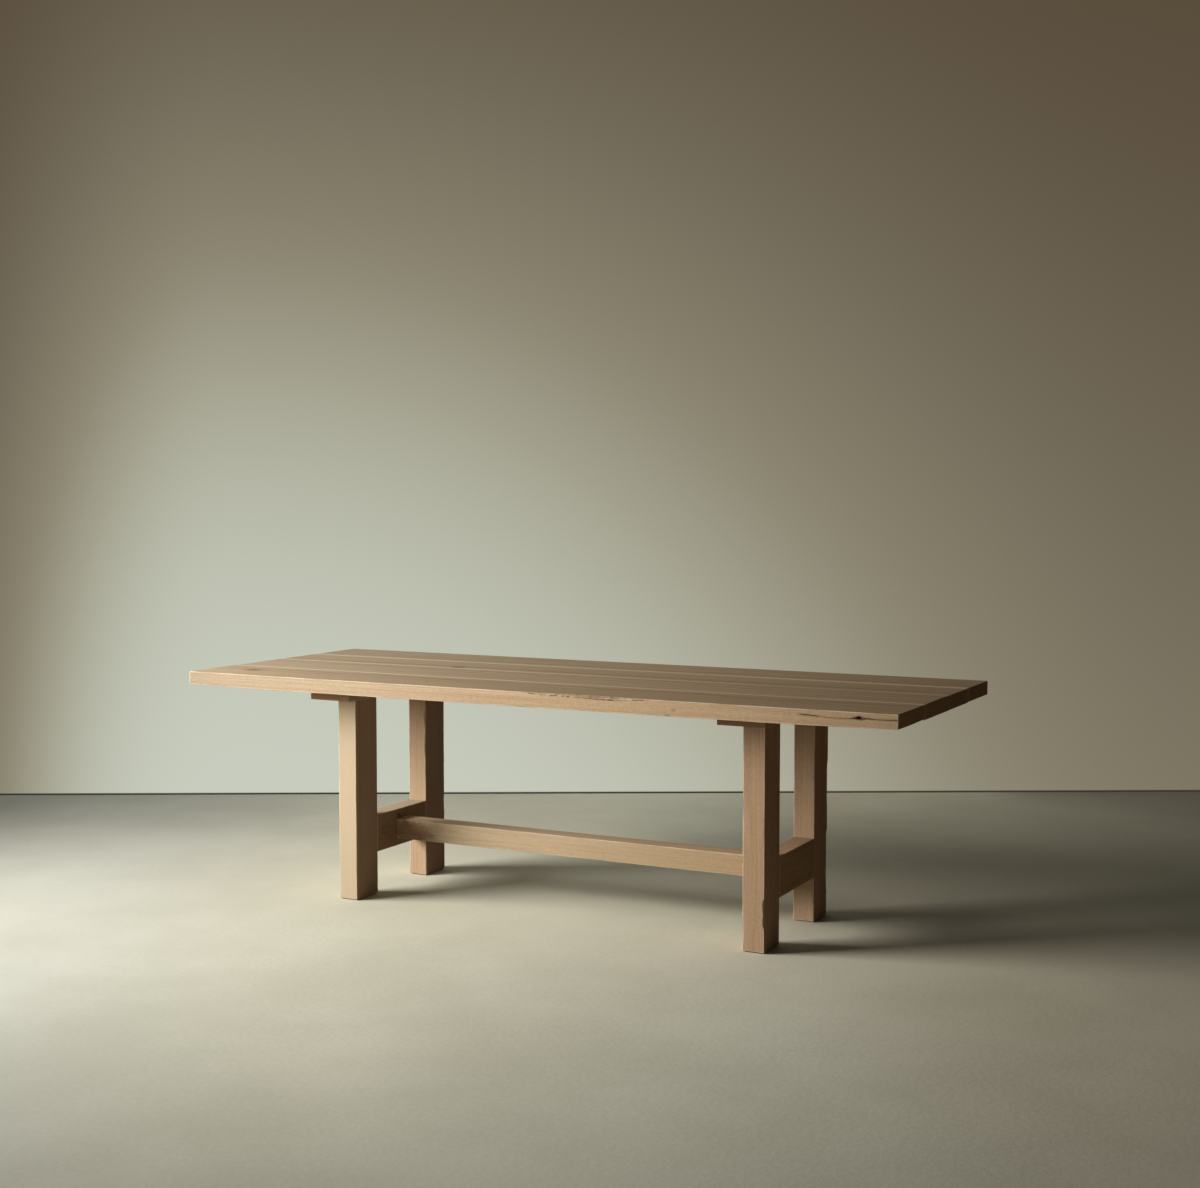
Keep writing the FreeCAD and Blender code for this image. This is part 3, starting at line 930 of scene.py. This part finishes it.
def fissures(member, drop):
    """Dark broken cracks a little above the wane's lower border, and pits."""
    x, y, z = member.points.T
    in_front = y < member.low[1] + CRACKED_BACK
    on_wane = in_front & (z > member.high[2] - drop - CRACKED_BELOW) & (drop > CRACKED_DROP)
    above = z - (member.high[2] - drop) - np.minimum(CRACK_HEIGHT, CRACK_HEIGHT_SHARE * drop)
    line = np.exp(-((above + 0.4 * MM * ripple(x, 0.03, 12)) / CRACK_HALF_WIDTH) ** 2)
    amount = np.zeros(len(x))
    for start, end, strength in WANE_CRACKS:
        begun = smooth_step(x, start - CRACK_END, start + CRACK_END)
        within = begun * smooth_step(-x, -end - CRACK_END, -end + CRACK_END)
        amount = np.maximum(amount, strength * line * within)
    for place, half, strength in WANE_PITS:
        pit = np.exp(-((x - place) / half) ** 4 - (above / PIT_HALF_HEIGHT) ** 2)
        amount = np.maximum(amount, strength * pit)
    amount *= on_wane
    member.points[:, 1] += CRACK_DEPTH * amount
    member.stain = np.maximum(member.stain, 0.95 * amount)


def worn_corner(member):
    """Rounds the board's corner at its right end and back, as seen from above."""
    centre = member.high[:2] - WORN_CORNER
    over = np.maximum(member.points[:, :2] - centre, 0)
    longest = over.max(1)
    reach = np.maximum(np.hypot(*over.T), 1e-9)
    inside = over.min(1) > 0
    scale = np.where(inside, longest / reach, 1.0)[:, None]
    member.points[:, :2] = np.where(inside[:, None], centre + over * scale, member.points[:, :2])


# The top's long edges wear most and carry most of the painted highlight: how far from the middle they
# begin, and the share of wear and highlight elsewhere
EXPOSED_FROM = 0.45
SHELTERED_WEAR = 0.3

# The boards' grid: its steps along, across and through a board, and closer stretches, each with its
# start, end and step. Some are counted from the board's sides: the split's ends, the wane's rows and
# the corner's lines
BOARD_STEPS = (15 * MM, 10 * MM, 7.5 * MM)
FRONT_STEPS = (15 * MM, 10 * MM, 3.0 * MM)
WANE_LINES = (0.04, 0.50, 1.7 * MM)
WANE_ROWS = (3 * MM, 16 * MM, 1.5 * MM)
SPLIT_LINES = (0.905, 5 * MM, 2.0 * MM)
SPLIT_LEVELS = (0.720, 3 * MM, 1.0 * MM)
CORNER_LINES = (12 * MM, 4 * MM, 1.5 * MM)


def board(node, seed, steps=BOARD_STEPS, fine=((), (), ())):
    spans = zip(*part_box(node))
    member = eased_member(node, spans, steps, BOARD_ARRIS, seed, fine)
    exposed = np.abs(member.home[:, 1]) > EXPOSED_FROM
    member.wear_and_highlight *= np.where(exposed, 1.0, SHELTERED_WEAR)
    return member


def front_board(node, seed):
    """The front board, with its wane, cracks, split and knot hole."""
    low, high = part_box(node)
    start, left_over, step = SPLIT_LINES
    along = (WANE_LINES, (start, high.x - left_over, step))
    start, end, step = WANE_ROWS
    across = ((low.y + start, low.y + end, step),)
    start, left_over, step = SPLIT_LEVELS
    through = ((start, high.z - left_over, step),)
    member = board(node, seed, FRONT_STEPS, (along, across, through))
    wane_front(member)
    split_front(member)
    return member


def back_board(node, seed):
    """The back board, with its worn corner."""
    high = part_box(node)[1]
    start, end, step = CORNER_LINES
    along, across = (((side - start, side - end, step),) for side in high[:2])
    member = board(node, seed, fine=(along, across, ()))
    worn_corner(member)
    return member


# How much each board's underside rises towards its left and its right end and over what length, and
# how hollow it is across
UNDERSIDE = {
    "top_board_front": (3.8 * MM, 0.36, 4.3 * MM, 0.42, 0.2),
    "top_board_mid_front": (0.8 * MM, 0.3, 1.3 * MM, 0.3),
    "top_board_mid_back": (1.2 * MM, 0.3, 1.7 * MM, 0.3),
    "top_board_back": (1.5 * MM, 0.3, 3.0 * MM, 0.3),
}

# What the boards' oak has in common, and each board's own, as the function oak takes it
# The boards share a painted falloff of light along them, and painted light on their right ends
BOARD_OAK = dict(broad=0.25, figured=0.78, painted_falloff=(0.24, 0.03, 0.02, -0.19), painted_side_light=(1.58, 1.55, 1.70))

BOARD_LOOKS = {
    "top_board_front": dict(
        pith=(-0.30, 0.52), shift=0.7, ring=4.2, tone=(1.0, 0.99, 0.97),
        knots=(
            ((-1.045, -0.324, 0.745), (44, 42, 30), 0.42),
            ((1.0915, -0.460, 0.729), (26, 20, 7), 0.6),
            ((0.547, -0.460, 0.719), (11, 9, 6), 0.3),
            ((0.528, -0.460, 0.703), (16, 12, 6), 0.35),
        ),
        bands=((-0.2235, 0.008, 0.6, 0.8), (-0.283, 0.018, -0.36), (-0.322, 0.012, -0.22)),
    ),
    "top_board_mid_front": dict(
        pith=(0.05, 0.40), shift=3.1, ring=3.4, tone=(0.985, 0.985, 0.985),
        bands=((-0.214, 0.011, 0.75, 0.7), (0.020, 0.009, 0.6, 0.3), (-0.020, 0.012, -0.3)),
    ),
    "top_board_mid_back": dict(
        pith=(0.16, 0.60), shift=6.4, ring=3.8, tone=(0.97, 0.96, 0.95),
        knots=(((-0.491, 0.061, 0.745), (42, 32, 30), 0.5),),
        bands=((0.030, 0.012, 0.75, 0.3), (0.072, 0.016, -0.36), (0.212, 0.011, 0.7, 0.6)),
    ),
    "top_board_back": dict(
        pith=(0.40, 0.48), shift=9.2, ring=4.0, tone=(0.98, 0.975, 0.96),
        bands=((0.231, 0.018, 0.85, 0.8), (0.277, 0.010, -0.3)),
    ),
}


def dress_top():
    special = {"top_board_front": front_board, "top_board_back": back_board}
    for seed, (node, looks) in enumerate(BOARD_LOOKS.items(), start=1):
        member = special.get(node, board)(node, seed)
        member.undulate(BOARD_UNEVEN, 10 + seed, 0, BOARD_WAVES)
        relieve_underside(member, *UNDERSIDE[node])
        material = oak(node.replace("top", "oak"), "X", **BOARD_OAK, **looks)
        member.build("oak_top", material)


# -------- the trestles and the stretcher

# Wane on the legs' arrises: for a leg and a corner, stops of height and of the cut's reach on the
# front or back face and on the side face, in millimetres
LEG_WANE = {
    ("leg_front_left", LEFT_FRONT): (
        (0.0, 0, 0), (0.07, 2.2, 4.6), (0.14, 2.0, 4.2), (0.16, 0, 0), (0.50, 0, 0), (0.52, 2.4, 4.8),
        (0.545, 0, 0),
    ),
    ("leg_back_left", RIGHT_FRONT): (
        (0.10, 0, 0), (0.16, 1.4, 1.6), (0.22, 0.8, 1.0), (0.28, 0, 0), (0.395, 0, 0), (0.43, 3.2, 3.8),
        (0.465, 3.6, 4.2), (0.50, 1.3, 1.5), (0.522, 1.5, 1.8), (0.546, 5.4, 5.8), (0.566, 5.6, 6.0),
        (0.579, 1.6, 2.0), (0.605, 0.8, 1.0), (0.657, 1.8, 2.2),
    ),
    ("leg_back_left", RIGHT_BACK): (
        (0.11, 0, 0), (0.15, 2.6, 5.0), (0.20, 1.2, 2.4), (0.24, 2.8, 5.0), (0.27, 1.4, 2.4),
        (0.375, 1.6, 2.8), (0.388, 0, 0), (0.408, 0, 0), (0.42, 1.6, 2.8), (0.657, 1.4, 2.4),
    ),
    ("leg_front_right", LEFT_FRONT): (
        (0.015, 0, 0), (0.04, 3.8, 8.0), (0.095, 3.4, 7.4), (0.112, 0, 0), (0.25, 0, 0),
        (0.27, 3.4, 7.4), (0.29, 0, 0), (0.40, 0, 0), (0.43, 3.8, 8.0), (0.465, 0, 0),
    ),
    ("leg_front_right", RIGHT_FRONT): (
        (0.072, 0, 0), (0.086, 4.4, 6.5), (0.12, 3.6, 5.5), (0.150, 4.8, 6.5), (0.164, 0, 0),
    ),
    ("leg_back_right", RIGHT_FRONT): (
        (0.04, 0, 0), (0.07, 2.2, 2.6), (0.12, 1.0, 1.2), (0.16, 0, 0), (0.46, 0, 0), (0.52, 1.8, 2.2),
        (0.58, 0.9, 1.2), (0.62, 0, 0),
    ),
    ("leg_back_right", RIGHT_BACK): (
        (0.0, 4, 7), (0.06, 4, 7), (0.12, 6.4, 11), (0.257, 6.0, 10.5), (0.275, 2.4, 4), (0.345, 2.4, 4),
        (0.36, 4, 7), (0.473, 4, 7), (0.50, 0, 0),
    ),
}

# The grids' steps on X, Y and Z, and the closer lines beside the legs' arrises: their start and end,
# from a side, and their step
LEG_STEPS = (8 * MM, 10 * MM, 5 * MM)
RAIL_STEPS = (9 * MM, 6 * MM, 9 * MM)
STRETCHER_STEPS = (10 * MM, 9 * MM, 8 * MM)
LEG_FINE_X = (2.4 * MM, 9 * MM, 1.3 * MM)
LEG_FINE_Y = (2.4 * MM, 12 * MM, 1.6 * MM)

# How much is planed off a low rail's underside
PLANED = 0.4 * MM

# How dark cut arrises are, and how rough
LEG_CUT = dict(stain=0.10, roughness=0.5 * MM)
STRETCHER_CUT = dict(stain=0.08, roughness=0.3 * MM)

# The slight wear of every arris: its reach in millimetres, its waves' length and its most
LEG_SLIGHT = (0.9, 0.21, 1.0)
STRETCHER_SLIGHT = (1.3, 0.33, 1.4)

# A leg's wane wavers by this share, in waves of this length
WANE_WAVER = 0.14
WANE_WAVE = 0.04


def slight_wear(along, seed, reach, wavelength, most):
    return MM * np.clip(reach * ripple(along, wavelength, seed), 0, most)


def both_sides(low, high, start, end, step):
    """Two close stretches of a grid, one at each side."""
    return (low + start, low + end, step), (high - end, high - start, step)


def leg(node, seed):
    low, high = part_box(node)
    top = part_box("bearer_left")[0].z
    spans = ((low.x, high.x), (low.y, high.y), (low.z, top))
    fine = (both_sides(*spans[0], *LEG_FINE_X), both_sides(*spans[1], *LEG_FINE_Y), ())
    member = eased_member(node, spans, LEG_STEPS, FRAME_ARRIS, seed, fine)
    z = member.home[:, 2]
    for number, corner in enumerate(CORNERS):
        stops = LEG_WANE.get((node, corner))
        slight = slight_wear(z, seed + 7 * number, *LEG_SLIGHT)
        back, drop = slight, 1.4 * slight
        if stops:
            waver = 1 + WANE_WAVER * ripple(z, WANE_WAVE, seed + number)
            back = np.maximum(back, MM * waver * profile(z, [(s[0], s[1]) for s in stops]))
            drop = np.maximum(drop, MM * waver * profile(z, [(s[0], s[2]) for s in stops]))
        member.cut_arris(2, corner, back, drop, seed + number, **LEG_CUT)
    member.undulate(FRAME_UNEVEN, seed, 2, FRAME_WAVES)
    return member


def rail(node, seed):
    """A low rail between its legs. Its underside is planed so that the peg's end stands proud."""
    low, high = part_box(node)
    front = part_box(node.replace("low_rail", "leg_front"))[1].y
    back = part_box(node.replace("low_rail", "leg_back"))[0].y
    spans = ((low.x, high.x), (front, back), (low.z + PLANED, high.z))
    member = eased_member(node, spans, RAIL_STEPS, FRAME_ARRIS, seed)
    member.undulate(RAIL_UNEVEN, seed, 1, FRAME_WAVES)
    return member


def stretcher(seed):
    low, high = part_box("stretcher")
    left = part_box("low_rail_left")[1].x
    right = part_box("low_rail_right")[0].x
    spans = ((left, right), (low.y, high.y), (low.z, high.z))
    member = eased_member("stretcher", spans, STRETCHER_STEPS, FRAME_ARRIS, seed)
    x = member.home[:, 0]
    for number, corner in enumerate(CORNERS):
        slight = slight_wear(x, seed + 7 * number, *STRETCHER_SLIGHT)
        member.cut_arris(0, corner, slight, slight, seed + number, **STRETCHER_CUT)
    member.undulate(FRAME_UNEVEN, seed, 0, FRAME_WAVES)
    return member


# The oak of the legs and the low rails, as the function oak takes it. The order gives the seeds
FRAME_FIGURE = 0.68
FIRST_FRAME_SEED = 41
# The side tones paint shade on the +X faces of the left legs and the left rail, and light on those of the
# right ones
FRAME_LOOKS = {
    "leg_front_left": dict(
        pith=(-0.60, -0.36), tone=(0.912, 0.924, 0.938), painted_side_light=(0.954, 0.897, 1.01),
        figured=0.42, bands=((-0.270, 0.022, 0.48),),
    ),
    "leg_back_left": dict(
        pith=(-0.86, 0.05), tone=(0.925, 0.90, 0.89), painted_side_light=(0.85, 0.813, 0.943),
        # Painted shade on this leg, darker higher up under the top
        figured=0.65, painted_height_shade=-0.37,
    ),
    "leg_front_right": dict(pith=(0.69, -0.16), tone=(0.936, 0.858, 0.83), painted_side_light=(1.22, 1.16, 1.236)),
    "leg_back_right": dict(pith=(0.55, 0.30), tone=(0.955, 0.896, 0.887), painted_side_light=(1.28, 1.17, 1.21)),
    "low_rail_left": dict(
        pith=(0.32, -0.64), tone=(0.918, 1.01, 1.10), painted_side_light=(0.82, 0.665, 0.66),
        knots=(
            ((-0.678, -0.095, 0.205), (40, 46, 34), 0.18),
            # A painted contact shadow where the stretcher's top meets the rail
            ((-0.678, -0.030, 0.238), (20, 18, 12), 0.5),
        ),
    ),
    "low_rail_right": dict(pith=(0.30, 0.60), tone=(0.96, 0.89, 0.84), painted_side_light=(1.10, 1.0, 1.0)),
}
STRETCHER_SEED = 61
STRETCHER_LOOKS = dict(
    pith=(0.05, 0.02), shift=23.0, ring=3.4, tone=(1.11, 1.124, 1.112), figured=0.6,
    # A dark patch at the left end: partly heartwood and partly the painted shadow of the near left leg
    knots=(((-0.620, -0.035, 0.190), (120, 60, 60), 0.62),),
    # A painted falloff of light, darker towards the stretcher's right end
    painted_falloff=(0.0, -0.28, 0.0, -0.05), knot_colour=OAK_HEART_AND_SHADOW,
)


def dress_trestles():
    for seed, (node, looks) in enumerate(FRAME_LOOKS.items(), start=FIRST_FRAME_SEED):
        shape, grain = (leg, "Z") if node.startswith("leg") else (rail, "Y")
        ring = 3.0 + 0.25 * (seed % 5)
        looks = dict(shift=1.9 * seed, ring=ring, figured=FRAME_FIGURE) | looks
        shape(node, seed).build("oak_frame", oak("oak_" + node, grain, **looks))


def dress_stretcher():
    material = oak("oak_stretcher", "X", **STRETCHER_LOOKS)
    stretcher(STRETCHER_SEED).build("oak_frame", material)


# -------- the frame's own solids


def finish_solid(node, material):
    for material_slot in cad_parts[node].material_slots:
        material_slot.material = material


# The bearers' oak, as the function oak takes it
BEARER_LOOKS = {
    "bearer_left": dict(pith=(0.62, -0.90), shift=31.0, ring=3.2, tone=(1.12, 1.15, 1.25)),
    "bearer_right": dict(pith=(0.62, 0.60), shift=34.0, ring=3.2, tone=(1.02, 1.05, 1.15)),
}


def finish_solids():
    """Oak for the bearers, and a finish for each kind of small part."""
    for node, looks in BEARER_LOOKS.items():
        finish_solid(node, oak("oak_" + node, "Y", **looks))
    steel = zinc()
    finishes = {
        "stretcher_peg": beech("beech_upright", "Z"),
        "seam_tongues": beech("beech_crosswise", "Y"),
        "top_screws": steel,
        "top_washers": steel,
        "felt_glide": felt(),
    }
    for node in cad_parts:
        for start, material in finishes.items():
            if node.startswith(start):
                finish_solid(node, material)


bpy.context.scene.view_settings.view_transform = "Standard"
make_camera()
make_world()
make_floor()
make_wall()
for lamp_name, settings in LAMPS.items():
    make_lamp(lamp_name, **settings)
dress_top()
dress_trestles()
dress_stretcher()
finish_solids()
